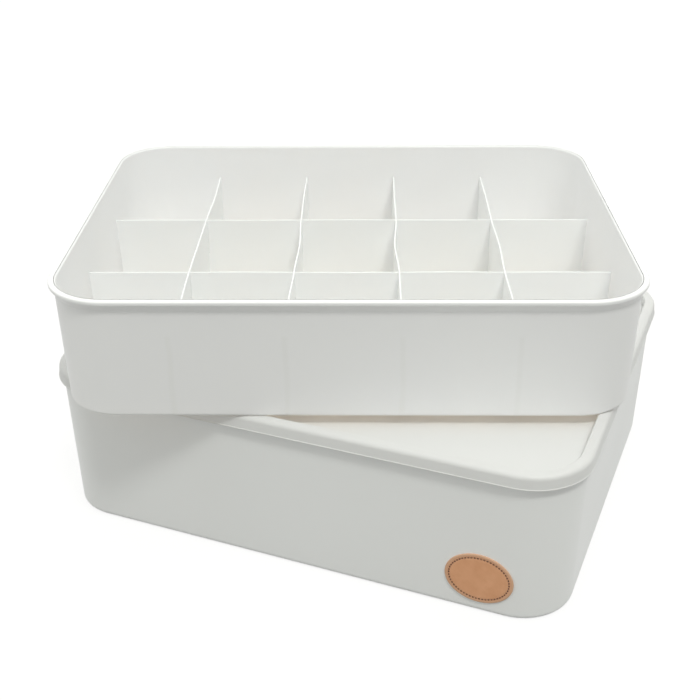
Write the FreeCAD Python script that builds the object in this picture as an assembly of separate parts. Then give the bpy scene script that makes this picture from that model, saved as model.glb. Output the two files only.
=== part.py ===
"""Two-tier storage set: a deep box with a press-on lid and a divided tray stacked on it.

All sizes are millimetres.  The set stands on Z = 0 with the origin under the middle of
the storage box.  X runs along the tray's long side; the box and its lid stand below the
tray, turned about Z.  Every piece is a separate solid, written to parts/NODE.step.
"""
import FreeCAD, Part

import math
import os
from dataclasses import dataclass

# --- footprint and draft, shared by the box and the tray ---------------------------------
footprint_length = 324.5
footprint_width = 259.0
footprint_radius = 33.7
wall_draft = 1.4           # degrees, all moulded walls lean out towards their rim

# --- storage box -------------------------------------------------------------------------
box_height = 96.2
box_wall = 1.8
box_floor = 2.0
box_base_radius = 3.4      # of the outer edge between the wall and the base
box_turn = -21.5           # degrees about Z, against the tray
lip_overhang = 1.0         # the rim's lip stands out this far from the wall
lip_height = 2.4
foot_ring_width = 11.0     # flat ring round the base that the box stands on
foot_ring_height = 1.0
gate_radius = 3.0          # moulding gate in the middle of the underside
gate_height = 0.4

# --- lid ---------------------------------------------------------------------------------
lid_deck = 2.1             # thickness of the raised border
lid_skirt_wall = 1.4
lid_skirt_drop = 5.4       # from the box's rim down to the skirt's lower edge
lid_clearance = 0.4        # between the skirt and the box's lip
lid_edge_radius = 2.6
lid_border_width = 7.5
lid_recess = 6.0           # the panel lies this far below the border
lid_panel = 1.8
lid_step_chamfer = 0.8     # on the edges of the step between the border and the panel

# --- oval label on the box's front wall --------------------------------------------------
label_length = 39.2        # of the oval, along the wall
label_width = 32.8
label_thickness = 0.8
label_offset = 113.6       # of its centre, from the middle of the wall towards +X
label_height = 23.9        # of its centre above the floor

# --- tray --------------------------------------------------------------------------------
tray_height = 72.7
tray_wall = 1.6
tray_floor = 1.6
tray_base_chamfer = 1.4    # of the outer edge between the wall and the base
tray_rim_overhang = 2.8    # the rolled rim stands out this far from the wall
tray_rim_round = 1.5       # of the rim's upper outer edge
tray_rim_band = 0.4        # upright band under the round
tray_rim_taper = 6.0       # height over which the rim draws in to the wall below the band
tray_inner_chamfer = 0.6   # of the edge between the rim and the inner face
rim_groove_width = 1.8
rim_groove_depth = 0.3
tray_shift_x = -13.2
tray_shift_y = 14.8

# --- dividers: strips that slide into each other and drop into the tray ------------------
columns = 5
rows = 3
divider_height = 48.1
divider_thickness = 1.0
long_end_clearance = 3.2   # between the long strips' ends and the tray's wall
cross_end_clearance = 0.4
column_slack = 3.3         # the columns together are this much shorter than the tray's inside
column_shift = -1.6        # of the columns' middle, from the tray's
divider_corner_chamfer = 1.2
slot_side_clearance = 0.15
slot_root_clearance = 0.3
slot_lead_in = 0.5

# --- modelling helpers' own values -------------------------------------------------------
cut_margin = 1.0           # cutting bodies run this far past the face that they open
inner_chamfer = 0.6        # inside the moulded bases, between the wall and the floor
tolerance = 0.001

# --- worked out from the sizes above -----------------------------------------------------
lean = math.tan(math.radians(wall_draft))
lid_top = box_height + lid_deck
lid_outset = lip_overhang + lid_clearance + lid_skirt_wall
lid_inner_outset = lip_overhang + lid_clearance
recess_outset = lid_outset - lid_border_width
slot_width = divider_thickness + 2 * slot_side_clearance
up = FreeCAD.Vector(0, 0, 1)
origin = FreeCAD.Vector(0, 0, 0)


@dataclass(frozen=True)
class Footprint:
    """Rectangle with round corners, centred on the Z axis."""

    length: float
    width: float
    radius: float

    def outline(self, outset, height):
        """Closed wire at a height, grown by the outset on every side."""
        x = self.length / 2 - self.radius
        y = self.width / 2 - self.radius
        corners = [(x, y, 0), (-x, y, 90), (-x, -y, 180), (x, -y, 270)]
        arcs = [
            Part.makeCircle(self.radius + outset, FreeCAD.Vector(cx, cy, height), up, start, start + 90)
            for cx, cy, start in corners
        ]
        edges = []
        for arc, following in zip(arcs, arcs[1:] + arcs[:1]):
            edges.append(arc)
            edges.append(Part.makeLine(arc.lastVertex().Point, following.firstVertex().Point))
        return Part.Wire(edges)

    def block(self, low, high):
        """Solid between two levels, each given as (outset, height)."""
        return Part.makeLoft([self.outline(*low), self.outline(*high)], True, True)

    def groove(self, middle, height, half_width, depth):
        """V-shaped ring that follows the outline and opens upwards at a height."""
        bottom = (middle, height - depth)
        opening = self.block(bottom, (middle + 2 * half_width, height + depth))
        core = self.block(bottom, (middle - 2 * half_width, height + depth))
        return opening.cut(core)


def leaning(outset, rim_height, height):
    """Outset at a height of a drafted wall that has the given outset at its rim."""
    return outset - lean * (rim_height - height)


@dataclass(frozen=True)
class CellRun:
    """Equal cells in one direction of the tray, parted by the dividers that cross it."""

    span: float
    cells: int
    end_clearance: float
    slack: float = 0.0
    shift: float = 0.0

    def inner_half(self, height):
        """Half of the tray's clear inside, at a height above the dividers' foot."""
        return self.span / 2 + leaning(-tray_wall, tray_height, tray_floor + height)

    def strip_half(self, height):
        """Half length of a divider that lies along the run, at a height above its foot."""
        return self.inner_half(height) - self.end_clearance

    def places(self):
        """Middles of the dividers that part the run, from the tray's middle."""
        inside = 2 * self.inner_half(divider_height) - self.slack
        return [self.shift + inside * (index / self.cells - 1 / 2) for index in range(1, self.cells)]


footprint = Footprint(footprint_length, footprint_width, footprint_radius)
along = CellRun(footprint_length, columns, long_end_clearance, column_slack, column_shift)
across = CellRun(footprint_width, rows, cross_end_clearance)


def edges_along(shape, outline):
    """Edges of a shape that run along an outline."""
    edges = []
    for edge in shape.Edges:
        middle = edge.valueAt((edge.FirstParameter + edge.LastParameter) / 2)
        if outline.distToShape(Part.Vertex(middle))[0] < tolerance:
            edges.append(edge)
    return edges


def rounded(shape, outline, radius):
    """Shape with a fillet along an outline."""
    return shape.makeFillet(radius, edges_along(shape, outline))


def chamfered(shape, outline, size):
    """Shape with a chamfer along an outline."""
    return shape.makeChamfer(size, edges_along(shape, outline))


def drafted_block(outset, rim_height, base, top):
    """Block with drafted sides from base to top, and the outline of its lower edge."""
    low = (leaning(outset, rim_height, base), base)
    high = (leaning(outset, rim_height, top), top)
    return footprint.block(low, high), footprint.outline(*low)


def make_storage_box():
    """Deep drafted box with a lip round its rim and a foot ring under its base."""
    shell, base_edge = drafted_block(0, box_height, 0, box_height)
    shell = rounded(shell, base_edge, box_base_radius)
    lip = footprint.block((lip_overhang, box_height - lip_height), (lip_overhang, box_height))

    cavity, floor_edge = drafted_block(-box_wall, box_height, box_floor, box_height + cut_margin)
    cavity = chamfered(cavity, floor_edge, inner_chamfer)

    recess_side = leaning(0, box_height, 0) - foot_ring_width
    recess = footprint.block((recess_side, -cut_margin), (recess_side, foot_ring_height))
    raised_side = recess_side + box_floor
    raised = footprint.block((raised_side, box_floor / 2), (raised_side, box_floor + foot_ring_height))
    gate_foot = origin + up * (foot_ring_height - gate_height)
    gate = Part.makeCylinder(gate_radius, gate_height + box_floor / 2, gate_foot)
    return shell.fuse(lip).cut(cavity).fuse(raised).cut(recess).fuse(gate).removeSplitter()


def make_lid():
    """Lid that presses over the box's lip: a border, a short skirt and a sunken panel."""
    skirt_base = box_height - lid_skirt_drop
    skirt_lean = lean * (lid_top - skirt_base)
    top_edge = (lid_outset - skirt_lean, lid_top)
    cover = footprint.block((lid_outset, skirt_base), top_edge)
    cover = rounded(cover, footprint.outline(*top_edge), lid_edge_radius)

    socket = footprint.block((lid_inner_outset, skirt_base - cut_margin), (lid_inner_outset, box_height))

    panel_top = lid_top - lid_recess
    plug_outset = recess_outset + lid_panel
    plug_edge = (plug_outset, panel_top - lid_panel)
    plug = footprint.block(plug_edge, (plug_outset, lid_top - lid_deck / 2))
    plug = chamfered(plug, footprint.outline(*plug_edge), lid_step_chamfer)

    recess_edge = (recess_outset, panel_top)
    recess = footprint.block(recess_edge, (recess_outset, lid_top + cut_margin))
    recess = chamfered(recess, footprint.outline(*recess_edge), lid_step_chamfer)

    lid = cover.cut(socket).fuse(plug).cut(recess).removeSplitter()
    return chamfered(lid, footprint.outline(recess_outset, lid_top), lid_step_chamfer)


def make_label_disc():
    """Oval patch that lies flat against the drafted front wall of the box."""
    wall_y = -(footprint_width / 2 + leaning(0, box_height, label_height))
    centre = FreeCAD.Vector(label_offset, wall_y, label_height)
    draft = math.radians(wall_draft)
    outward = FreeCAD.Vector(0, -math.cos(draft), -math.sin(draft))
    along_wall = FreeCAD.Vector(label_length / 2, 0, 0)
    up_wall = outward.cross(along_wall).normalize() * (label_width / 2)
    oval = Part.Ellipse(centre + along_wall, centre + up_wall, centre)
    return Part.Face(Part.Wire(oval.toShape())).extrude(outward * label_thickness)


def make_tray_shell():
    """Shallow drafted tray with a rolled rim that has a groove along its top."""
    top = lid_top + tray_height
    shell, base_edge = drafted_block(0, top, lid_top, top)
    shell = chamfered(shell, base_edge, tray_base_chamfer)

    band_base = top - tray_rim_round - tray_rim_band
    taper_base = band_base - tray_rim_taper
    rim_low = (leaning(-tray_wall / 2, top, taper_base), taper_base)
    rim_edge = (tray_rim_overhang, band_base)
    rim_high = (tray_rim_overhang, top)
    rim = footprint.block(rim_edge, rim_high)
    rim = rounded(rim, footprint.outline(*rim_high), tray_rim_round)
    rim = rim.fuse(footprint.block(rim_low, rim_edge))

    cavity, floor_edge = drafted_block(-tray_wall, top, lid_top + tray_floor, top + cut_margin)
    cavity = chamfered(cavity, floor_edge, inner_chamfer)
    tray = shell.fuse(rim).cut(cavity).removeSplitter()
    tray = chamfered(tray, footprint.outline(-tray_wall, top), tray_inner_chamfer)

    groove_middle = (tray_rim_overhang - tray_wall) / 2
    return tray.cut(footprint.groove(groove_middle, top, rim_groove_width / 2, rim_groove_depth))


def make_strip(half_base, half_top, slots, slot_opens_up):
    """Divider strip along X, standing on Z = 0, with a slot at each of the given places."""
    lower_left = FreeCAD.Vector(-half_base, 0, 0)
    lower_right = FreeCAD.Vector(half_base, 0, 0)
    upper_right = FreeCAD.Vector(half_top, 0, divider_height)
    upper_left = FreeCAD.Vector(-half_top, 0, divider_height)
    face = Part.Face(Part.makePolygon([lower_left, lower_right, upper_right, upper_left, lower_left]))
    strip = face.extrude(FreeCAD.Vector(0, divider_thickness, 0))
    strip.translate(FreeCAD.Vector(0, -divider_thickness / 2, 0))
    ends = [edge for edge in strip.Edges if abs(edge.tangentAt(edge.FirstParameter).y) > 1 - tolerance]
    strip = strip.makeChamfer(divider_corner_chamfer, ends)
    return strip.cut(Part.makeCompound([make_slot(place, slot_opens_up) for place in slots]))


def make_slot(place, opens_up):
    """Prism that cuts one halving slot, wider at its mouth, half-way through a strip."""
    side = slot_width / 2
    mouth = side + slot_lead_in
    if opens_up:
        direction = 1
        edge_height = divider_height
    else:
        direction = -1
        edge_height = 0
    root = divider_height / 2 - direction * slot_root_clearance / 2
    throat = edge_height - direction * slot_lead_in
    outside = edge_height + direction * cut_margin
    profile = [
        (-side, root),
        (side, root),
        (side, throat),
        (mouth, edge_height),
        (mouth, outside),
        (-mouth, outside),
        (-mouth, edge_height),
        (-side, throat),
        (-side, root),
    ]
    points = [FreeCAD.Vector(place + x, -cut_margin, z) for x, z in profile]
    return Part.Face(Part.makePolygon(points)).extrude(FreeCAD.Vector(0, 2 * cut_margin, 0))


def make_long_divider(place):
    """Divider along X, slotted from above."""
    strip = make_strip(along.strip_half(0), along.strip_half(divider_height), along.places(), True)
    return strip.translated(FreeCAD.Vector(0, place, 0))


def make_cross_divider(place):
    """Divider along Y, slotted from below."""
    strip = make_strip(across.strip_half(0), across.strip_half(divider_height), across.places(), False)
    return strip.rotated(origin, up, 90).translated(FreeCAD.Vector(place, 0, 0))


def make_pieces():
    """Every piece of the set in its place, by node name."""
    pieces = {
        "storage_box": make_storage_box(),
        "lid": make_lid(),
        "label_disc": make_label_disc(),
    }
    for name, shape in pieces.items():
        pieces[name] = shape.rotated(origin, up, box_turn)

    tray_place = FreeCAD.Vector(tray_shift_x, tray_shift_y, 0)
    pieces["tray_shell"] = make_tray_shell().translated(tray_place)
    divider_place = tray_place + up * (lid_top + tray_floor)
    for number, place in enumerate(across.places(), start=1):
        pieces[f"long_divider_{number}"] = make_long_divider(place).translated(divider_place)
    for number, place in enumerate(along.places(), start=1):
        pieces[f"cross_divider_{number}"] = make_cross_divider(place).translated(divider_place)
    return pieces


os.makedirs("parts", exist_ok=True)
for node, piece in make_pieces().items():
    piece.exportStep(f"parts/{node}.step")
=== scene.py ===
"""Studio scene of a two-tier storage set: a deep lidded box with a divided tray on top.

Each moulding is swept here from its cross-section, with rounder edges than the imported
solids have, and stands for the solid of the same name.  Sizes are fields of the classes,
in millimetres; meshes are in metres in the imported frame, with every piece at the origin.
"""

from __future__ import annotations

import logging
import math
from dataclasses import dataclass
from enum import Enum
from typing import ClassVar, Iterable, Sequence

import bmesh
import bpy
from mathutils import Matrix, Vector


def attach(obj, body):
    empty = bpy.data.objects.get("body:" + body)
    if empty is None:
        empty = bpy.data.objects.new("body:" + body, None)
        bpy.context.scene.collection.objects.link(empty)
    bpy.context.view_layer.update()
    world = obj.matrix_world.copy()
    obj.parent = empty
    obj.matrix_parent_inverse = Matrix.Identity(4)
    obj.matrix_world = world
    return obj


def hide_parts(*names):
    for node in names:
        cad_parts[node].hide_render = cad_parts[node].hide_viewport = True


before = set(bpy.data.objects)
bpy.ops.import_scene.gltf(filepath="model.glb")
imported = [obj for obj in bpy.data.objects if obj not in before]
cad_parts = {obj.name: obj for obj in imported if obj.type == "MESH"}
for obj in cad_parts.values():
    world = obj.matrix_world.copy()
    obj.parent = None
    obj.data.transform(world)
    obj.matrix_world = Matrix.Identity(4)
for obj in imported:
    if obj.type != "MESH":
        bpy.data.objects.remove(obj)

log = logging.getLogger("storage_set")

MM = 0.001
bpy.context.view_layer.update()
WHITE = "#FFFFFF"
NOISE_SPAN = {"From Min": 0.3, "From Max": 0.7}  # nearly all values of a noise lie in it

Point2 = tuple[float, float]
Corner = tuple[float, float, float]
Ring = list[Vector]
Faces = list[tuple[int, ...]]
Bows = tuple[float, ...]
Rgba = tuple[float, float, float, float]
Finish = bpy.types.Material
Piece = bpy.types.Object
Tree = bpy.types.NodeTree
Node = bpy.types.Node
Socket = bpy.types.NodeSocket


# --- small helpers ----------------------------------------


def linear(code: str) -> Rgba:
    """Turn an sRGB hex code into a linear colour.

    Args:
        code: Six hex digits, with or without a leading hash.

    Returns:
        Red, green, blue and an alpha of one, in scene-linear values.
    """
    digits = code.lstrip("#")
    channels = [int(digits[start:start + 2], 16) / 255 for start in (0, 2, 4)]
    values = [c / 12.92 if c <= 0.04045 else ((c + 0.055) / 1.055) ** 2.4 for c in channels]
    return values[0], values[1], values[2], 1.0


def add_node(
    tree: Tree,
    kind: str,
    inputs: dict[str | int, object] | None = None,
    **settings: object,
) -> Node:
    """Add one node with its settings, and its inputs as values or links.

    Args:
        tree: Node tree that the node goes into.
        kind: Node type's identifier.
        inputs: Socket name or index to a value, or to the socket or node that feeds it. A node
            feeds it from the first output that it has in use.
        **settings: Node properties to set.

    Returns:
        The new node.
    """
    node = tree.nodes.new(kind)
    for name, value in settings.items():
        setattr(node, name, value)
    for name, value in (inputs or {}).items():
        if isinstance(value, Node):
            value = next(output for output in value.outputs if output.enabled)
        if isinstance(value, Socket):
            tree.links.new(value, node.inputs[name])
        else:
            node.inputs[name].default_value = value
    return node


def new_finish(name: str) -> tuple[Finish, Tree]:
    """Make a material with an empty node tree.

    Args:
        name: Material's name.

    Returns:
        The material and its tree.
    """
    finish = bpy.data.materials.new(name)
    finish.use_nodes = True
    finish.node_tree.nodes.clear()
    return finish, finish.node_tree


def put_in_scene(name: str, data: bpy.types.ID) -> Piece:
    """Make an object from its data and link it to the scene.

    Args:
        name: Object's name.
        data: Mesh, camera or lamp.

    Returns:
        The new object, at the origin.
    """
    made = bpy.data.objects.new(name, data)
    bpy.context.scene.collection.objects.link(made)
    return made


def round_corners(
    corners: Sequence[Corner],
    steps: int = 6,
    support: float = 0.35,
) -> list[Point2]:
    """Round the corners of a cross-section and hold each round between two near points.

    Args:
        corners: Outset, height and radius of each corner; a radius of zero stays sharp.
        steps: Number of straight pieces in each round.
        support: Distance from a round's end to the point that keeps the flat beside it flat.

    Returns:
        Outset and height of every point along the section.
    """
    points: list[Point2] = []
    last = len(corners) - 1
    for index, (outset, height, radius) in enumerate(corners):
        here = Vector((outset, height))
        if radius <= 0 or index in (0, last):
            points.append((outset, height))
            continue
        back = Vector(corners[index - 1][:2]) - here
        ahead = Vector(corners[index + 1][:2]) - here
        half_angle = back.angle(ahead) / 2
        reach = radius / math.tan(half_angle)
        back_way, ahead_way = back.normalized(), ahead.normalized()
        centre = here + (back_way + ahead_way).normalized() * radius / math.sin(half_angle)
        start = here + back_way * reach
        end = here + ahead_way * reach
        if back.length > reach + 2 * support:
            points.append(tuple(start + back_way * support))
        turn = (start - centre).angle_signed(end - centre)
        for step in range(steps + 1):
            arm = start - centre
            arm.rotate(Matrix.Rotation(-turn * step / steps, 2))
            points.append(tuple(centre + arm))
        if ahead.length > reach + 2 * support:
            points.append(tuple(end + ahead_way * support))
    return points


def loft(rings: Sequence[Ring]) -> tuple[list[Vector], Faces]:
    """Skin a stack of rings that all have the same number of points, and fill its ends.

    Args:
        rings: Rings of points, in millimetres, in order along the skin.

    Returns:
        Vertices in millimetres and faces.
    """
    count = len(rings[0])
    vertices = [point for ring in rings for point in ring]
    faces: Faces = []
    for level in range(len(rings) - 1):
        low, high = level * count, (level + 1) * count
        for index in range(count):
            following = (index + 1) % count
            faces.append((low + index, low + following, high + following, high + index))
    faces.append(tuple(range(count)))
    faces.append(tuple(range((len(rings) - 1) * count, len(rings) * count)))
    return vertices, faces


def make_object(
    name: str,
    vertices: Iterable[Vector],
    faces: Faces,
    finish: Finish,
) -> Piece:
    """Make a closed, smoothly shaded mesh object at the origin from points in millimetres.

    Args:
        name: Object's name.
        vertices: Points in millimetres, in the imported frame.
        faces: Vertex indices of each face.
        finish: Material of the whole piece.

    Returns:
        The new object, with its faces pointing outwards.
    """
    mesh = bpy.data.meshes.new(name)
    mesh.from_pydata([tuple(point * MM) for point in vertices], [], faces)
    shell = bmesh.new()
    shell.from_mesh(mesh)
    bmesh.ops.recalc_face_normals(shell, faces=shell.faces)
    for face in shell.faces:
        face.smooth = True
    shell.to_mesh(mesh)
    shell.free()
    mesh.materials.append(finish)
    return put_in_scene(name, mesh)


def report(piece: Piece, body: str) -> None:
    """Log a finished piece with the body that it rides on."""
    log.info("%s: %d faces on %s", piece.name, len(piece.data.polygons), body)


# --- finishes ---------------------------------------------


class Resin(Enum):
    """Polypropylene finishes in the set, by what is made of them; the lid's is the same white
    plastic painted greyer as shade.
    """

    BOX = "box"
    LID_SHADED = "lid"
    TRAY = "tray"
    SHEET = "sheet"


@dataclass(frozen=True)
class PaintedDividerShade:
    """Painted shade: faint darker lines on a milky wall where the ends of evenly spaced strips
    meet its back, standing in for their shade seen through it.
    """

    first: float                 # mm along X
    pitch: float                 # mm
    middle: float                # mm along Y, half-way between the two walls
    top: float                   # mm, height of the strips' upper edge
    reach: float = 127.0         # mm from the middle to the walls
    half_width: float = 1.5      # mm
    blur: float = 0.7            # mm
    wall_fade: float = 1.0       # mm, over which the lines fade in at the walls
    top_fade: float = 2.0        # mm, over which they fade out above the strips
    wander: float = 2.0          # mm, how far a line strays, because the strips are bent
    bend: float = 30.0           # mm, length of the bends
    # colour of the painted shade, a little darker than the wall's white
    colour: str = "#F8F9FA"

    def mask(self, tree: Tree, place: Socket) -> Node:
        """Add the nodes that find the lines.

        Args:
            tree: Material's node tree.
            place: Socket with the object coordinates.

        Returns:
            Node that gives one on a line and zero away from it.
        """
        axes = add_node(tree, "ShaderNodeSeparateXYZ", {"Vector": place}).outputs
        stray = add_node(
            tree, "ShaderNodeTexNoise",
            {"Vector": place, "Scale": 1 / (self.bend * MM), "Detail": 0.0},
        )
        along = axes["X"]
        lead = 0.5 - (self.first + self.wander / 2) / self.pitch
        for operation, inputs in (
            ("MULTIPLY_ADD", {0: stray, 1: self.wander * MM, 2: along}),
            ("MULTIPLY_ADD", {1: 1 / (self.pitch * MM), 2: lead}),
            ("FRACT", {}),
            ("SUBTRACT", {1: 0.5}),
            ("ABSOLUTE", {}),
        ):
            along = add_node(tree, "ShaderNodeMath", {0: along, **inputs}, operation=operation)
        away = axes["Y"]
        for operation, inputs in (("SUBTRACT", {1: self.middle * MM}), ("ABSOLUTE", {})):
            away = add_node(tree, "ShaderNodeMath", {0: away, **inputs}, operation=operation)
        inner = (self.half_width - self.blur) / self.pitch
        outer = (self.half_width + self.blur) / self.pitch
        limits = [
            add_node(
                tree, "ShaderNodeMapRange",
                {"Value": value, "From Min": outside, "From Max": inside},
            )
            for value, inside, outside in (
                (along, inner, outer),
                (away, self.reach * MM, (self.reach - self.wall_fade) * MM),
                (axes["Z"], self.top * MM, (self.top + self.top_fade) * MM),
            )
        ]
        found = limits[0]
        for limit in limits[1:]:
            found = add_node(tree, "ShaderNodeMath", {0: found, 1: limit}, operation="MULTIPLY")
        return found


@dataclass(frozen=True)
class ThinFloor:
    """Level floor of a moulding, thin enough to let much light through and warm it."""

    top: float                   # mm, height of its upper face
    thickness: float             # mm
    passing: float = 0.66        # share of the light that each face lets through
    colour: str = "#FFF2E3"      # of what the underside lets through
    wall_fade: float = 0.9       # mm, over which the wall takes over above the floor
    face_fade: float = 0.3       # mm, each way from the middle of the thickness
    sloping: float = 0.85        # upright part of the normal, below which a face isn't level
    level: float = 0.95          # and above which it is

    def light(
        self,
        tree: Tree,
        place: Socket,
        wall_passing: float,
        wall_colour: str,
    ) -> tuple[Node, Node]:
        """Add the nodes that tell the floor from the walls.

        Args:
            tree: Material's node tree.
            place: Socket with the object coordinates.
            wall_passing: Share of the light that the walls let through.
            wall_colour: Colour of what the walls let through.

        Returns:
            Nodes that give the share of the light that is let through and its colour.
        """
        height = add_node(tree, "ShaderNodeSeparateXYZ", {"Vector": place}).outputs["Z"]
        normal = add_node(tree, "ShaderNodeNewGeometry").outputs["True Normal"]
        upright = add_node(tree, "ShaderNodeSeparateXYZ", {"Vector": normal}).outputs["Z"]
        steep = add_node(tree, "ShaderNodeMath", {0: upright}, operation="ABSOLUTE")
        middle = self.top - self.thickness / 2
        low, flat, under = [
            add_node(
                tree, "ShaderNodeMapRange",
                {"Value": value, "From Min": outside, "From Max": inside},
            )
            for value, outside, inside in (
                (height, (self.top + self.wall_fade) * MM, self.top * MM),
                (steep, self.sloping, self.level),
                (height, (middle + self.face_fade) * MM, (middle - self.face_fade) * MM),
            )
        ]
        thin = add_node(tree, "ShaderNodeMath", {0: low, 1: flat}, operation="MULTIPLY")
        share = add_node(
            tree, "ShaderNodeMapRange",
            {"Value": thin, "To Min": wall_passing, "To Max": self.passing},
        )
        colour = add_node(
            tree, "ShaderNodeMix",
            {0: under, 6: linear(wall_colour), 7: linear(self.colour)},
            data_type="RGBA",
        )
        return share, colour


@dataclass(frozen=True)
class MouldedPolypropylene:
    """White polypropylene, injection moulded in a fine spark-eroded cavity.

    It gives a milky white with a soft satin sheen, faint clouding from the melt's flow, and
    thin walls that pass a little scattered light on.
    """

    resin: Resin
    colour: str = "#FBFDFE"
    cloud_colour: str = "#F9FBFC"
    cloud: float = 70.0          # mm, size of the flow clouding
    smoothest: float = 0.38      # roughness where the clouding is thinnest
    roughest: float = 0.47       # and where it is thickest
    refraction: float = 1.49
    grain: float = 0.45          # mm, spacing of the eroded texture, drawn coarser to show
    grain_height: float = 0.012  # mm
    edge: float = 0.25           # mm, softness of an edge that is left sharp in the mesh
    passing: float = 0.03        # share of the light that each face lets through, scattered
    passing_colour: str = "#FFFFFE"
    thin_floor: ThinFloor | None = None
    painted_divider_shade: PaintedDividerShade | None = None

    def material(self) -> Finish:
        """Build the node material.

        Returns:
            The finished material.
        """
        finish, tree = new_finish(f"white_polypropylene_{self.resin.value}")
        place = add_node(tree, "ShaderNodeTexCoord").outputs["Object"]
        cloud = add_node(
            tree, "ShaderNodeTexNoise",
            {"Vector": place, "Scale": 1 / (self.cloud * MM), "Detail": 3.0, "Roughness": 0.45},
        )
        tint = add_node(
            tree, "ShaderNodeMix",
            {0: cloud, 6: linear(self.colour), 7: linear(self.cloud_colour)},
            data_type="RGBA",
        )
        # painted shade where the cross strips' ends meet the wall, seen through it
        if self.painted_divider_shade:
            tint = add_node(
                tree, "ShaderNodeMix",
                {0: self.painted_divider_shade.mask(tree, place), 6: tint, 7: linear(self.painted_divider_shade.colour)},
                data_type="RGBA",
            )
        sheen = add_node(
            tree, "ShaderNodeMapRange",
            {"Value": cloud, **NOISE_SPAN, "To Min": self.smoothest, "To Max": self.roughest},
        )
        grain = add_node(
            tree, "ShaderNodeTexNoise",
            {"Vector": place, "Scale": 1 / (self.grain * MM), "Detail": 2.0, "Roughness": 0.6},
        )
        soft_edge = add_node(tree, "ShaderNodeBevel", {"Radius": self.edge * MM}, samples=4)
        relief = add_node(
            tree, "ShaderNodeBump",
            {"Height": grain, "Distance": self.grain_height * MM, "Strength": 1.0,
             "Normal": soft_edge},
        )
        surface = add_node(
            tree, "ShaderNodeBsdfPrincipled",
            {"Base Color": tint, "Roughness": sheen, "IOR": self.refraction, "Normal": relief},
        )
        share, passed = self.passing, linear(self.passing_colour)
        if self.thin_floor:
            share, passed = self.thin_floor.light(tree, place, share, self.passing_colour)
        through = add_node(tree, "ShaderNodeBsdfTranslucent", {"Color": passed, "Normal": relief})
        milky = add_node(tree, "ShaderNodeMixShader", {0: share, 1: surface, 2: through})
        add_node(tree, "ShaderNodeOutputMaterial", {"Surface": milky})
        return finish


@dataclass(frozen=True)
class TannedLeather:
    """Vegetable-tanned leather, die-cut and left natural.

    It gives a warm tan with a pebbled grain and cloudy uneven colour; its edge and the dent of its
    stitches are painted darker and greyer as shade.
    """

    colour: str = "#EEB48A"
    shade: str = "#E2A57B"
    # colour of the painted shade on the rounded edge and in the stitch dent
    painted_edge_shade_colour: str = "#D8AE90"
    roughness: float = 0.62
    refraction: float = 1.45
    grain: float = 1.1           # mm, size of the pebbles
    grain_height: float = 0.05   # mm
    grain_strength: float = 0.6
    mottle: float = 9.0          # mm

    painted_shade_map: ClassVar[str] = "painted_edge_shade"

    def material(self) -> Finish:
        """Build the node material.

        Returns:
            The finished material.
        """
        finish, tree = new_finish("vegetable_tanned_leather")
        place = add_node(tree, "ShaderNodeTexCoord").outputs["Object"]
        pebble = add_node(
            tree, "ShaderNodeTexVoronoi",
            {"Vector": place, "Scale": 1 / (self.grain * MM), "Smoothness": 0.5},
            feature="SMOOTH_F1",
        )
        mottle = add_node(
            tree, "ShaderNodeTexNoise",
            {"Vector": place, "Scale": 1 / (self.mottle * MM), "Detail": 5.0, "Roughness": 0.6},
        )
        uneven = add_node(tree, "ShaderNodeMapRange", {"Value": mottle, **NOISE_SPAN})
        tan = add_node(
            tree, "ShaderNodeMix",
            {0: uneven, 6: linear(self.colour), 7: linear(self.shade)},
            data_type="RGBA",
        )
        # how much painted shade the edge and the stitch dent get
        painted_edge_shade = add_node(tree, "ShaderNodeAttribute", attribute_name=self.painted_shade_map)
        colour = add_node(
            tree, "ShaderNodeMix",
            {0: painted_edge_shade.outputs["Fac"], 6: tan, 7: linear(self.painted_edge_shade_colour)},
            data_type="RGBA",
        )
        relief = add_node(
            tree, "ShaderNodeBump",
            {"Height": pebble, "Distance": self.grain_height * MM,
             "Strength": self.grain_strength},
        )
        surface = add_node(
            tree, "ShaderNodeBsdfPrincipled",
            {"Base Color": colour, "Roughness": self.roughness, "IOR": self.refraction,
             "Normal": relief},
        )
        add_node(tree, "ShaderNodeOutputMaterial", {"Surface": surface})
        return finish


@dataclass(frozen=True)
class WaxedThread:
    """Waxed polyester thread, twisted, in a dark brown that has dulled on the leather."""

    colour: str = "#5C3824"
    shade: str = "#7A4E36"
    roughness: float = 0.5
    refraction: float = 1.5
    twist: float = 0.25          # mm, width of a strand

    wave_pace: ClassVar[float] = 20.0  # radians in one unit of a wave texture

    def material(self) -> Finish:
        """Build the node material.

        Returns:
            The finished material.
        """
        finish, tree = new_finish("waxed_polyester_thread")
        place = add_node(tree, "ShaderNodeTexCoord").outputs["Object"]
        strand = add_node(
            tree, "ShaderNodeTexWave",
            {"Vector": place, "Scale": 1 / (self.twist * MM) / self.wave_pace, "Distortion": 1.0},
            bands_direction="DIAGONAL",
        )
        colour = add_node(
            tree, "ShaderNodeMix",
            {0: strand.outputs["Fac"], 6: linear(self.colour), 7: linear(self.shade)},
            data_type="RGBA",
        )
        surface = add_node(
            tree, "ShaderNodeBsdfPrincipled",
            {"Base Color": colour, "Roughness": self.roughness, "IOR": self.refraction},
        )
        add_node(tree, "ShaderNodeOutputMaterial", {"Surface": surface})
        return finish


# --- the mouldings' common form ---------------------------


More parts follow.
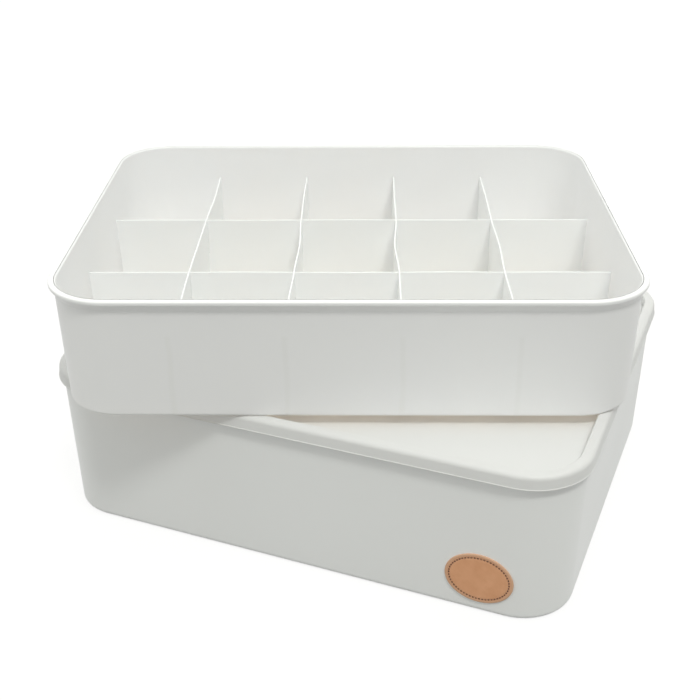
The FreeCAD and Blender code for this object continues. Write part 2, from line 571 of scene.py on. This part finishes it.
@dataclass(frozen=True)
class Footprint:
    """Rounded rectangle that every moulding follows, with its turn and place in the set."""

    length: float = 324.5
    width: float = 259.0
    radius: float = 33.7
    draft: float = 1.4           # degrees
    turn: float = 0.0            # degrees about Z
    shift: Point2 = (0.0, 0.0)
    corner_steps: int = 20
    side_step: float = 12.0      # longest piece of a straight side
    margin: float = 20.0         # from a flat's edge to the last ring that keeps it flat

    def leaning(self, outset: float, rim_height: float, height: float) -> float:
        """Outset at a height of a drafted wall that has the given outset at its rim."""
        return outset - math.tan(math.radians(self.draft)) * (rim_height - height)

    def place(self, x: float, y: float, height: float) -> Vector:
        """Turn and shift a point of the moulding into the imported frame."""
        point = Matrix.Rotation(math.radians(self.turn), 3, "Z") @ Vector((x, y, height))
        return point + Vector((*self.shift, 0.0))

    def ring(self, outset: float, height: float) -> Ring:
        """Points round the outline, grown by an outset.

        Args:
            outset: Distance that the outline is moved out, in millimetres.
            height: Height of the ring.

        Returns:
            The ring's points, always as many and in the same order.
        """
        straight_x = self.length / 2 - self.radius
        straight_y = self.width / 2 - self.radius
        middles = [(1, 1), (-1, 1), (-1, -1), (1, -1)]
        sides = [straight_x, straight_y, straight_x, straight_y]
        points: Ring = []
        for quarter, ((sign_x, sign_y), side) in enumerate(zip(middles, sides)):
            centre = Vector((sign_x * straight_x, sign_y * straight_y))
            for step in range(self.corner_steps + 1):
                angle = math.radians(90 * (quarter + step / self.corner_steps))
                outward = Vector((math.cos(angle), math.sin(angle)))
                points.append(centre + outward * (self.radius + outset))
            along = Vector((-outward.y, outward.x))
            pieces = math.ceil(2 * side / self.side_step)
            corner_end = points[-1]
            points.extend(
                corner_end + along * (2 * side * piece / pieces) for piece in range(1, pieces)
            )
        return [self.place(point.x, point.y, height) for point in points]

    def circle(self, radius: float, height: float) -> Ring:
        """Points on a circle round the middle, each in line with a point of the outline."""
        directions = [Vector(point[:2]) - Vector(self.shift) for point in self.ring(0.0, 0.0)]
        points = [direction.normalized() * radius + Vector(self.shift) for direction in directions]
        return [Vector((point.x, point.y, height)) for point in points]


@dataclass
class Moulding:
    """A thin shell swept round the footprint from its cross-section."""

    node: str
    body: str
    slot: str
    footprint: Footprint
    finish: MouldedPolypropylene

    def section(self) -> list[Corner]:
        """Corners of the cross-section, from the underside, round the rim, to the inside."""
        raise NotImplementedError

    def middle_rings(self) -> list[Ring]:
        """Rings that shape the middle of the underside, where it isn't flat."""
        return []

    def build(self) -> Piece:
        """Sweep the section, dress the shell and put it in its node's stead.

        Returns:
            The finished piece.
        """
        rings = [self.footprint.ring(*point) for point in round_corners(self.section())]
        vertices, faces = loft(self.middle_rings() + rings)
        piece = make_object(f"{self.node}_shell", vertices, faces, self.finish.material())
        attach(piece, self.body)
        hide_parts(self.node)
        return piece


@dataclass
class StorageBox(Moulding):
    """Deep drafted box with a lip round its rim and a foot ring under its base."""

    height: float = 96.2
    wall: float = 1.8
    floor: float = 2.0
    base_radius: float = 3.4
    lip_overhang: float = 1.0
    lip_height: float = 2.4
    foot_width: float = 11.0
    foot_height: float = 1.0
    gate_radius: float = 3.0
    gate_height: float = 0.4
    fine: float = 0.4            # radius of small edges

    def section(self) -> list[Corner]:
        """Corners of the box's section, from its underside to its inside floor."""
        foot, top, fine = self.footprint, self.height, self.fine
        base = foot.leaning(0.0, top, 0.0)
        recess = base - self.foot_width
        raised = recess + self.floor
        inside = -self.wall
        lip_base = top - self.lip_height
        return [
            (recess - foot.margin, self.foot_height, 0.0),
            (recess, self.foot_height, fine),
            (recess, 0.0, fine),
            (base, 0.0, self.base_radius),
            (foot.leaning(0.0, top, lip_base), lip_base, fine),
            (self.lip_overhang, lip_base, fine),
            (self.lip_overhang, top, fine),
            (inside, top, fine),
            (foot.leaning(inside, top, self.floor), self.floor, self.base_radius - self.wall),
            (raised, self.floor, fine),
            (raised, self.floor + self.foot_height, fine),
            (raised - foot.margin, self.floor + self.foot_height, 0.0),
        ]

    def middle_rings(self) -> list[Ring]:
        """Rings of the gate mark under the middle."""
        foot, radius = self.footprint, self.gate_radius
        gate_foot = self.foot_height - self.gate_height
        return [
            foot.circle(radius - self.fine, gate_foot),
            foot.circle(radius, gate_foot + self.gate_height / 2),
            foot.circle(radius, self.foot_height),
            foot.circle(radius * 2, self.foot_height),
        ]


@dataclass
class Lid(Moulding):
    """Press-on lid: a raised border, a short skirt and a sunken panel."""

    rim: float = StorageBox.height
    deck: float = 2.1
    skirt_wall: float = 1.4
    skirt_drop: float = 6.2
    skirt_draft: float = 7.0     # degrees
    bead_width: float = 0.25     # the skirt's lower edge stands out this far
    bead_height: float = 0.6
    socket: float = 1.4          # outset of the skirt's inner face
    edge_radius: float = 2.6
    border_width: float = 7.5
    recess: float = 6.0
    panel: float = 1.8
    step_radius: float = 1.2
    inset: float = 0.03          # kept inside the solid, whose corners are coarser
    fine: float = 0.5

    def section(self) -> list[Corner]:
        """Corners of the lid's section, from its underside to the top of its panel."""
        foot, bead = self.footprint, self.bead_width
        top = self.rim + self.deck
        sunken = top - self.recess
        skirt_base = self.rim - self.skirt_drop
        bead_top = skirt_base + self.bead_height
        outset = self.socket + self.skirt_wall - self.inset
        lean_in = math.tan(math.radians(self.skirt_draft)) * (top - skirt_base)
        inner = outset - self.border_width
        return [
            (inner - foot.margin, sunken - self.panel, 0.0),
            (inner + self.panel, sunken - self.panel, self.step_radius),
            (inner + self.panel, self.rim, self.fine),
            (self.socket, self.rim, self.fine),
            (self.socket, skirt_base, self.fine),
            (outset, skirt_base, bead),
            (outset, bead_top, bead / 2),
            (outset - bead, bead_top + bead, bead / 2),
            (outset - lean_in, top, self.edge_radius),
            (inner, top, self.step_radius),
            (inner, sunken, self.step_radius),
            (inner - foot.margin, sunken, 0.0),
        ]


@dataclass
class Tray(Moulding):
    """Shallow drafted tray with a rolled rim that has a groove along its top."""

    base: float = Lid.rim + Lid.deck
    height: float = 72.7
    wall: float = 1.6
    floor: float = 1.6
    base_radius: float = 2.2
    rim_overhang: float = 2.8
    rim_round: float = 1.0
    rim_band: float = 1.0
    rim_taper: float = 6.0       # height over which the rim draws in to the wall's middle
    inner_round: float = 1.2     # of the rim's inner edge
    groove_place: float = 0.3    # outset of the groove's middle
    groove_depth: float = 0.26
    groove_half: float = 0.55    # half its width
    fine: float = 0.35           # radius of small edges

    def section(self) -> list[Corner]:
        """Corners of the tray's section, from its underside to its inside floor."""
        foot = self.footprint
        top = self.base + self.height
        low = foot.leaning(0.0, top, self.base)
        band_base = top - self.rim_round - self.rim_band
        inside = -self.wall
        taper_foot = foot.leaning(inside / 2, top, band_base - self.rim_taper)
        share = -inside / 2 / (self.rim_overhang - taper_foot)
        under_rim = band_base - self.rim_taper * (1 - share)
        floor_top = self.base + self.floor
        groove = self.groove_place
        return [
            (low - foot.margin, self.base, 0.0),
            (low, self.base, self.base_radius),
            (foot.leaning(0.0, top, under_rim), under_rim, self.fine),
            (self.rim_overhang, band_base, self.fine),
            (self.rim_overhang, top, self.rim_round),
            (groove + self.groove_half, top, self.fine),
            (groove, top - self.groove_depth, self.fine),
            (groove - self.groove_half, top, self.fine),
            (inside, top, self.inner_round),
            (foot.leaning(inside, top, floor_top), floor_top, self.base_radius),
            (low - foot.margin, floor_top, 0.0),
        ]


# --- the dividers -----------------------------------------


@dataclass
class DividerStrip:
    """Cut strip of thin sheet with halving slots, a little bowed between its crossings."""

    node: str
    body: str
    lengthwise: bool             # along X, slotted from above; otherwise along Y, from below
    half_base: float             # half lengths at its foot and at its top
    half_top: float
    middle: Point2               # of the strip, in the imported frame
    slots: Sequence[float]       # places of the slots, from the strip's middle
    bows: Sequence[float]        # sideways bow between the ends and crossings, in order
    foot: float = Tray.base + Tray.floor
    height: float = 48.1
    thickness: float = 1.0
    slot_width: float = 1.3
    levels: int = 12
    step: float = 5.0            # longest piece along the strip
    cut_edge: float = 0.18       # softness of the cut edges
    cut_steps: int = 2           # pieces in each soft edge
    cut_angle: float = 50.0      # degrees between two faces, from which their edge is cut

    def stations(self) -> list[float]:
        """Places along the strip where its mesh is cut across, slot sides among them."""
        marks = {-self.half_top, self.half_top}
        for place in self.slots:
            marks.update((place - self.slot_width / 2, place + self.slot_width / 2))
        ordered = sorted(marks)
        stations = [ordered[0]]
        for start, end in zip(ordered, ordered[1:]):
            span = end - start
            pieces = max(1, math.ceil(span / self.step))
            stations.extend(start + span * piece / pieces for piece in range(1, pieces + 1))
        return stations

    def bow(self, place: float) -> float:
        """Sideways displacement, which is nothing at the ends and at the crossings."""
        stops = [-self.half_top, *self.slots, self.half_top]
        for index, (start, end) in enumerate(zip(stops, stops[1:])):
            if start <= place <= end:
                share = (place - start) / (end - start)
                return self.bows[index] * math.sin(math.pi * share) ** 2
        return 0.0

    def is_slot(self, place: float, level_middle: float) -> bool:
        """Whether a point of the strip's face lies in one of its slots."""
        half = self.height / 2
        cut = level_middle > half if self.lengthwise else level_middle < half
        return cut and any(abs(place - slot) < self.slot_width / 2 for slot in self.slots)

    def point(self, place: float, level: float, side: float) -> Vector:
        """Point of the strip from its place along it, height above its foot and side."""
        share = level / self.height
        half = self.half_base + (self.half_top - self.half_base) * share
        along = place * half / self.half_top
        off = self.bow(place) + side * self.thickness / 2
        x, y = (along, off) if self.lengthwise else (-off, along)
        return Vector((self.middle[0] + x, self.middle[1] + y, self.foot + level))

    def mesh(self) -> tuple[list[Vector], Faces]:
        """Closed skin of the strip as a grid of cells with the slots left out.

        Returns:
            Vertices in millimetres and faces.
        """
        places = self.stations()
        levels = [self.height * level / self.levels for level in range(self.levels + 1)]
        columns, rows = len(places) - 1, self.levels
        vertices: list[Vector] = []
        number: dict[tuple[int, int, int], int] = {}
        faces: Faces = []

        def vertex(column: int, row: int, side: int) -> int:
            """Number of the vertex at a grid corner on one side, made when first used."""
            key = (column, row, side)
            if key not in number:
                number[key] = len(vertices)
                vertices.append(self.point(places[column], levels[row], side))
            return number[key]

        def filled(column: int, row: int) -> bool:
            """Whether a cell of the grid is part of the strip."""
            if not (0 <= column < columns and 0 <= row < rows):
                return False
            place = (places[column] + places[column + 1]) / 2
            return not self.is_slot(place, (levels[row] + levels[row + 1]) / 2)

        for column in range(columns):
            for row in range(rows):
                if not filled(column, row):
                    continue
                right, upper = column + 1, row + 1
                corners = [(column, row), (right, row), (right, upper), (column, upper)]
                for side in (-1, 1):
                    faces.append(tuple(vertex(*corner, side) for corner in corners))
                beside = [(column, row - 1), (right, row), (column, upper), (column - 1, row)]
                for neighbour, start, end in zip(beside, corners, corners[1:] + corners[:1]):
                    if not filled(*neighbour):
                        edge = ((start, -1), (end, -1), (end, 1), (start, 1))
                        faces.append(tuple(vertex(*corner, side) for corner, side in edge))
        return vertices, faces

    def build(self, finish: Finish) -> Piece:
        """Make the strip, soften its cut edges and put it in its node's stead.

        Args:
            finish: Material of the sheet.

        Returns:
            The finished piece.
        """
        vertices, faces = self.mesh()
        piece = make_object(f"{self.node}_strip", vertices, faces, finish)
        softened = piece.modifiers.new("cut_edge", "BEVEL")
        softened.width = self.cut_edge * MM
        softened.segments = self.cut_steps
        softened.limit_method = "ANGLE"
        softened.angle_limit = math.radians(self.cut_angle)
        softened.harden_normals = True
        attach(piece, self.body)
        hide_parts(self.node)
        return piece


@dataclass
class DividerGrid:
    """The long and cross strips that part the tray into cells."""

    footprint: Footprint
    tray_wall: float = Tray.wall
    tray_height: float = Tray.height
    tray_floor: float = Tray.floor
    height: float = DividerStrip.height
    long_clearance: float = 3.2  # between the long strips' ends and the wall
    cross_clearance: float = 0.4
    column_slack: float = 3.3    # the columns together are this much shorter than the inside
    column_shift: float = -1.6   # of the columns' middle, from the tray's
    columns: int = 5
    rows: int = 3
    long_bows: tuple[Bows, ...] = (
        (0.0, 0.3, -0.3, 0.4, 0.2),
        (0.2, -0.3, 0.3, -0.3, 0.0),
    )
    cross_bows: tuple[Bows, ...] = (
        (-0.7, 0.0, -0.8),
        (1.0, -1.2, 0.3),
        (0.0, 1.8, 0.2),
        (-0.4, -0.9, -0.3),
    )

    def half(self, span: float, clearance: float, height: float) -> float:
        """Half length of a strip across a span, at a height above its foot."""
        level = self.tray_floor + height
        inside = self.footprint.leaning(-self.tray_wall, self.tray_height, level)
        return span / 2 + inside - clearance

    def places(self, span: float, cells: int, slack: float, shift: float) -> list[float]:
        """Middles of the strips that cross a span, from the tray's middle."""
        inside = 2 * self.half(span, 0.0, self.height) - slack
        return [shift + inside * (index / cells - 0.5) for index in range(1, cells)]

    def painted_divider_shade_lines(self) -> PaintedDividerShade:
        """Painted shade lines where the cross strips' ends meet the tray's long walls."""
        shift_x, shift_y = self.footprint.shift
        along = self.cross_places()
        return PaintedDividerShade(first=shift_x + along[0], pitch=along[1] - along[0], middle=shift_y,
                            top=DividerStrip.foot + self.height)

    def cross_places(self) -> list[float]:
        """Middles of the cross strips, from the tray's middle."""
        return self.places(self.footprint.length, self.columns, self.column_slack,
                           self.column_shift)

    def strips(self) -> list[DividerStrip]:
        """All the strips of the grid.

        Returns:
            The long strips, front to back, and then the cross strips, left to right.
        """
        length, width = self.footprint.length, self.footprint.width
        shift_x, shift_y = self.footprint.shift
        along = self.cross_places()
        across = self.places(width, self.rows, 0.0, 0.0)
        strips = []
        for number, (place, bows) in enumerate(zip(across, self.long_bows), start=1):
            strips.append(DividerStrip(
                f"long_divider_{number}", "divider_grid", True,
                self.half(length, self.long_clearance, 0.0),
                self.half(length, self.long_clearance, self.height),
                (shift_x, shift_y + place), along, bows,
            ))
        for number, (place, bows) in enumerate(zip(along, self.cross_bows), start=1):
            name = f"cross_divider_{number}"
            strips.append(DividerStrip(
                name, name, False,
                self.half(width, self.cross_clearance, 0.0),
                self.half(width, self.cross_clearance, self.height),
                (shift_x + place, shift_y), across, bows,
            ))
        return strips


# --- the leather label ------------------------------------


@dataclass
class LeatherLabel:
    """Oval leather patch on the box's front wall, with a ring of stitches near its edge."""

    footprint: Footprint
    box_height: float = StorageBox.height
    half_length: float = 19.6
    half_width: float = 16.4
    thickness: float = 0.8
    offset: float = 113.6
    height: float = 23.9
    edge_radius: float = 0.35
    dent: float = 0.16           # depth that the stitches pull the leather in
    stitch_inset: float = 2.4
    stitches: int = 54
    stitch_length: float = 1.35
    stitch_thickness: float = 0.85
    stitch_sway: float = 0.12    # radians that a stitch may stand askew
    sway_seed: int = 7
    ring_steps: int = 96

    def seat(self) -> Matrix:
        """Frame of the patch: X along the wall, Y up the wall and Z out of it.

        Returns:
            Matrix from the patch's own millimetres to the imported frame's.
        """
        draft = math.radians(self.footprint.draft)
        lean = self.footprint.leaning(0.0, self.box_height, self.height)
        along = Vector((1.0, 0.0, 0.0))
        outward = Vector((0.0, -math.cos(draft), -math.sin(draft)))
        upward = outward.cross(along)
        on_wall = Matrix((along, upward, outward)).transposed().to_4x4()
        on_wall.translation = (self.offset, -(self.footprint.width / 2 + lean), self.height)
        return Matrix.Rotation(math.radians(self.footprint.turn), 4, "Z") @ on_wall

    def patch(self, finish: Finish) -> Piece:
        """Make the oval with its rounded edge and the dent that the stitches pull into it.

        Args:
            finish: Leather material, which reads how near the edge a point is, for its painted
                shade.

        Returns:
            The patch, in place on the wall.
        """
        top, round_off, seam = self.thickness, self.edge_radius, self.stitch_inset
        profile = [                      # inset from the edge, level, painted edge shade
            (0.1, 0.0, 1.0),
            (0.0, 0.15, 1.0),
            (0.0, top - round_off, 1.0),
            (round_off * 0.3, top - round_off * 0.3, 1.0),
            (round_off, top, 0.9),
            (seam - 0.7, top - 0.03, 0.45),
            (seam - 0.3, top - self.dent, 0.4),
            (seam + 0.3, top - self.dent, 0.3),
            (seam + 0.8, top - 0.03, 0.1),
            (seam + 1.6, top, 0.0),
            (seam + 8.0, top, 0.0),
            (seam + 13.0, top, 0.0),
        ]
        seat = self.seat()
        turns = [2 * math.pi * step / self.ring_steps for step in range(self.ring_steps)]
        rings = [
            [
                seat @ Vector((
                    (self.half_length - inset) * math.cos(turn),
                    (self.half_width - inset) * math.sin(turn),
                    level,
                ))
                for turn in turns
            ]
            for inset, level, _ in profile
        ]
        vertices, faces = loft(rings)
        piece = make_object("leather_label", vertices, faces, finish)
        # painted shade: full at the edge, partial in the stitch dent
        painted_edge_shade = piece.data.attributes.new(TannedLeather.painted_shade_map, "FLOAT", "POINT")
        painted_edge_shade.data.foreach_set("value", [share for _, _, share in profile for _ in turns])
        return piece

    def stitch_tree(self, finish: Finish) -> Tree:
        """Build the Geometry Nodes tree that sets stitches round an oval.

        Args:
            finish: Thread material.

        Returns:
            The tree, with its sizes as named inputs in metres.
        """
        tree = bpy.data.node_groups.new("stitch_ring", "GeometryNodeTree")
        sizes = {
            "Half Length": (self.half_length - self.stitch_inset) * MM,
            "Half Width": (self.half_width - self.stitch_inset) * MM,
            "Stitch Length": self.stitch_length * MM,
            "Thread Thickness": self.stitch_thickness * MM,
        }
        for name, value in sizes.items():
            socket = tree.interface.new_socket(name, in_out="INPUT", socket_type="NodeSocketFloat")
            socket.default_value = value
        count = tree.interface.new_socket("Stitches", in_out="INPUT", socket_type="NodeSocketInt")
        count.default_value = self.stitches
        tree.interface.new_socket("Geometry", in_out="OUTPUT", socket_type="NodeSocketGeometry")
        given = add_node(tree, "NodeGroupInput").outputs
        circle = add_node(
            tree, "GeometryNodeCurvePrimitiveCircle",
            {"Resolution": self.ring_steps, "Radius": 1.0},
            mode="RADIUS",
        )
        halves = add_node(
            tree, "ShaderNodeCombineXYZ",
            {"X": given["Half Length"], "Y": given["Half Width"], "Z": 1.0},
        )
        oval = add_node(tree, "GeometryNodeTransform", {"Geometry": circle, "Scale": halves})
        curve = add_node(
            tree, "GeometryNodeResampleCurve", {"Curve": oval, "Count": given["Stitches"]},
        )
        tangent = add_node(tree, "GeometryNodeInputTangent")
        stitch = add_node(
            tree, "GeometryNodeMeshUVSphere", {"Segments": 10, "Rings": 8, "Radius": 0.5},
        )
        size = add_node(
            tree, "ShaderNodeCombineXYZ",
            {"X": given["Stitch Length"], "Y": given["Thread Thickness"],
             "Z": given["Thread Thickness"]},
        )
        wobble = add_node(
            tree, "FunctionNodeRandomValue",
            {"Min": (0.0, 0.0, -self.stitch_sway), "Max": (0.0, 0.0, self.stitch_sway),
             "Seed": self.sway_seed},
            data_type="FLOAT_VECTOR",
        )
        heading = add_node(
            tree, "FunctionNodeAlignRotationToVector",
            {"Vector": tangent},
            axis="X", pivot_axis="Z",
        )
        turned = add_node(
            tree, "FunctionNodeRotateRotation",
            {"Rotation": heading, "Rotate By": wobble},
            rotation_space="LOCAL",
        )
        placed = add_node(
            tree, "GeometryNodeInstanceOnPoints",
            {"Points": curve, "Instance": stitch, "Rotation": turned, "Scale": size},
        )
        real = add_node(tree, "GeometryNodeRealizeInstances", {"Geometry": placed})
        smooth = add_node(tree, "GeometryNodeSetShadeSmooth", {"Geometry": real})
        dressed = add_node(
            tree, "GeometryNodeSetMaterial", {"Geometry": smooth, "Material": finish},
        )
        add_node(tree, "NodeGroupOutput", {"Geometry": dressed})
        return tree

    def stitching(self, finish: Finish) -> Piece:
        """Evaluate the stitch tree and set the result into the patch's dent.

        Args:
            finish: Thread material.

        Returns:
            The stitches as one plain mesh, in place on the wall.
        """
        carrier = put_in_scene("stitch_carrier", bpy.data.meshes.new("stitch_carrier"))
        modifier = carrier.modifiers.new("stitches", "NODES")
        modifier.node_group = self.stitch_tree(finish)
        for item in modifier.node_group.interface.items_tree:
            if item.in_out == "INPUT":
                modifier[item.identifier] = item.default_value
        evaluated = carrier.evaluated_get(bpy.context.evaluated_depsgraph_get())
        mesh = bpy.data.meshes.new_from_object(evaluated)
        carrier.modifiers.remove(modifier)
        bpy.data.objects.remove(carrier)
        seat = self.seat() @ Matrix.Translation((0.0, 0.0, self.thickness - self.dent))
        seat.translation *= MM
        mesh.transform(seat)
        mesh.name = "label_stitches"
        return put_in_scene(mesh.name, mesh)

    def build(self) -> list[Piece]:
        """Make the patch and its stitches, riding on the box.

        Returns:
            The patch and the stitches.
        """
        patch = self.patch(TannedLeather().material())
        stitches = self.stitching(WaxedThread().material())
        for piece in (patch, stitches):
            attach(piece, "storage_box")
        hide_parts("label_disc")
        return [patch, stitches]


# --- the studio -------------------------------------------


@dataclass(frozen=True)
class SoftGlow:
    """Part of the studio's sky that is brightest in one direction and fades away from it."""

    towards: tuple[float, float, float]
    level: float
    focus: float = 4.0           # power of the cosine that the light falls off with


@dataclass(frozen=True)
class KeyLight:
    """Distant lamp whose disc gives the shadows their edge."""

    source: tuple[float, float, float]
    level: float                 # share of a white surface's full brightness
    angle: float = 10.0          # degrees


@dataclass(frozen=True)
class Studio:
    """Pale floor, soft lights and the camera."""

    lens: float = 58.574
    sensor: float = 36.0
    target: tuple[float, float, float] = (-12.345, -74.74, 120.0)
    distance: float = 656.42
    nearest: float = 10.0        # the camera sees nothing closer
    farthest: float = 100_000.0  # and nothing beyond
    azimuth: float = 0.016       # radians
    elevation: float = 0.490
    roll: float = -0.007
    light_colour: str = "#FFFFF9"
    key: KeyLight = KeyLight((0.22, -0.47, 1.0), 0.36)
    glows: tuple[SoftGlow, ...] = (
        SoftGlow((0.0, 0.0, 1.0), 1.52),
        SoftGlow((-1.0, 0.0, 0.25), 0.82),
        SoftGlow((1.0, 0.0, 0.25), 0.64),
        SoftGlow((0.0, 1.0, 0.25), 1.3),
        SoftGlow((-0.7, -0.7, 0.25), 0.28),
        SoftGlow((0.0, -1.0, 0.1), 0.37),
    )
    floor_colour: str = "#747473"    # where the camera sees the paper, under the lift
    floor_bounce: str = "#9C9C9B"    # for the light that it throws back on the object
    floor_lift: float = 0.84     # camera-only brightness of the floor
    floor_half: float = 6000.0
    bounces: int = 30            # milky walls pass light back and forth many times

    def camera(self) -> None:
        """Create the camera and make it the scene's."""
        data = bpy.data.cameras.new("camera")
        data.lens = self.lens
        data.sensor_width = self.sensor
        data.clip_start = self.nearest * MM
        data.clip_end = self.farthest * MM
        back = Vector((
            math.sin(self.azimuth) * math.cos(self.elevation),
            -math.cos(self.azimuth) * math.cos(self.elevation),
            math.sin(self.elevation),
        ))
        right = Vector((0.0, 0.0, 1.0)).cross(back).normalized()
        upward = back.cross(right)
        turn = Matrix((right, upward, back)).transposed() @ Matrix.Rotation(self.roll, 3, "Z")
        camera = put_in_scene("camera", data)
        camera.matrix_world = turn.to_4x4()
        camera.location = (Vector(self.target) + back * self.distance) * MM
        bpy.context.scene.camera = camera

    def key_light(self) -> None:
        """Add the key light, from above and in front."""
        data = bpy.data.lights.new("key", "SUN")
        data.energy = self.key.level * math.pi
        data.angle = math.radians(self.key.angle)
        data.color = linear(self.light_colour)[:3]
        lamp = put_in_scene("key", data)
        lamp.rotation_euler = Vector(self.key.source).to_track_quat("Z", "Y").to_euler()

    def seen_directly(self, tree: Tree) -> Node:
        """Add the nodes that tell rays which see a surface from rays that light one.

        Args:
            tree: Node tree of the world or a material.

        Returns:
            Node that gives one for camera, glossy and transmission rays.
        """
        path = add_node(tree, "ShaderNodeLightPath").outputs
        seen = path["Is Camera Ray"]
        for kind in ("Is Glossy Ray", "Is Transmission Ray"):
            seen = add_node(tree, "ShaderNodeMath", {0: seen, 1: path[kind]}, operation="MAXIMUM")
        return seen

    def sky_level(self, tree: Tree) -> Node:
        """Add up the glows in the direction that a ray leaves in.

        Args:
            tree: World's node tree.

        Returns:
            Node that gives the strength of the sky.
        """
        direction = add_node(tree, "ShaderNodeTexCoord").outputs["Generated"]
        total = 0.0
        for glow in self.glows:
            towards = tuple(Vector(glow.towards).normalized())
            along = add_node(
                tree, "ShaderNodeVectorMath", {0: direction, 1: towards}, operation="DOT_PRODUCT",
            )
            ahead = add_node(tree, "ShaderNodeMath", {0: along, 1: 0.0}, operation="MAXIMUM")
            falling = add_node(
                tree, "ShaderNodeMath", {0: ahead, 1: glow.focus}, operation="POWER",
            )
            total = add_node(
                tree, "ShaderNodeMath",
                {0: falling, 1: glow.level, 2: total},
                operation="MULTIPLY_ADD",
            )
        return total

    def sky(self) -> None:
        """Light the object from the world's glows, before a backdrop that is seen as white."""
        world = bpy.data.worlds.new("studio")
        world.use_nodes = True
        tree = world.node_tree
        tree.nodes.clear()
        light = add_node(
            tree, "ShaderNodeBackground",
            {"Color": linear(self.light_colour), "Strength": self.sky_level(tree)},
        )
        white = add_node(tree, "ShaderNodeBackground", {"Color": linear(WHITE), "Strength": 1.0})
        mixed = add_node(
            tree, "ShaderNodeMixShader", {0: self.seen_directly(tree), 1: light, 2: white},
        )
        add_node(tree, "ShaderNodeOutputWorld", {"Surface": mixed})
        bpy.context.scene.world = world

    def floor(self) -> None:
        """Lay the pale floor, which looks white but keeps the object's shadow."""
        finish, tree = new_finish("matt_studio_paper")
        paper = add_node(tree, "ShaderNodeBsdfDiffuse", {"Color": linear(self.floor_bounce)})
        seen = add_node(tree, "ShaderNodeBsdfDiffuse", {"Color": linear(self.floor_colour)})
        lift = add_node(
            tree, "ShaderNodeEmission", {"Color": linear(WHITE), "Strength": self.floor_lift},
        )
        raised = add_node(tree, "ShaderNodeAddShader", {0: seen, 1: lift})
        mixed = add_node(
            tree, "ShaderNodeMixShader", {0: self.seen_directly(tree), 1: paper, 2: raised},
        )
        add_node(tree, "ShaderNodeOutputMaterial", {"Surface": mixed})
        half = self.floor_half * MM
        mesh = bpy.data.meshes.new("floor")
        mesh.from_pydata(
            [(-half, -half, 0.0), (half, -half, 0.0), (half, half, 0.0), (-half, half, 0.0)],
            [], [(0, 1, 2, 3)],
        )
        mesh.materials.append(finish)
        put_in_scene("floor", mesh)

    def build(self) -> None:
        """Set up the camera, the lights, the backdrop and the floor."""
        scene = bpy.context.scene
        scene.view_settings.view_transform = "Standard"
        scene.cycles.max_bounces = self.bounces
        scene.cycles.diffuse_bounces = self.bounces
        self.camera()
        self.key_light()
        self.sky()
        self.floor()


def main() -> None:
    """Build every sub-assembly in order and report its pieces."""
    logging.basicConfig(level=logging.INFO, format="%(name)s: %(message)s")
    lower = Footprint(turn=-21.5)
    upper = Footprint(shift=(-13.2, 14.8))
    grid = DividerGrid(upper)
    box_resin = MouldedPolypropylene(Resin.BOX)
    # the lid is the same white plastic as the others, its colour painted greyer as shade
    shaded_lid_resin = MouldedPolypropylene(
        Resin.LID_SHADED, colour="#F0F1F1", cloud_colour="#EDEEEE", passing=0.2,
    )
    tray_resin = MouldedPolypropylene(
        Resin.TRAY, colour="#FCFDFE", cloud_colour="#FAFBFD", passing=0.05,
        thin_floor=ThinFloor(top=Tray.base + Tray.floor, thickness=Tray.floor),
        # painted shade of the cross strips' ends on the long walls
        painted_divider_shade=grid.painted_divider_shade_lines(),
    )
    for moulding in (
        StorageBox("storage_box", "storage_box", "box_plastic", lower, box_resin),
        Lid("lid", "lid", "lid_plastic", lower, shaded_lid_resin),
        Tray("tray_shell", "tray", "tray_plastic", upper, tray_resin),
    ):
        report(moulding.build(), moulding.body)
    sheet = MouldedPolypropylene(Resin.SHEET).material()
    for strip in grid.strips():
        report(strip.build(sheet), strip.body)
    for piece in LeatherLabel(lower).build():
        report(piece, "storage_box")
    Studio().build()


if __name__ == "__main__":
    main()
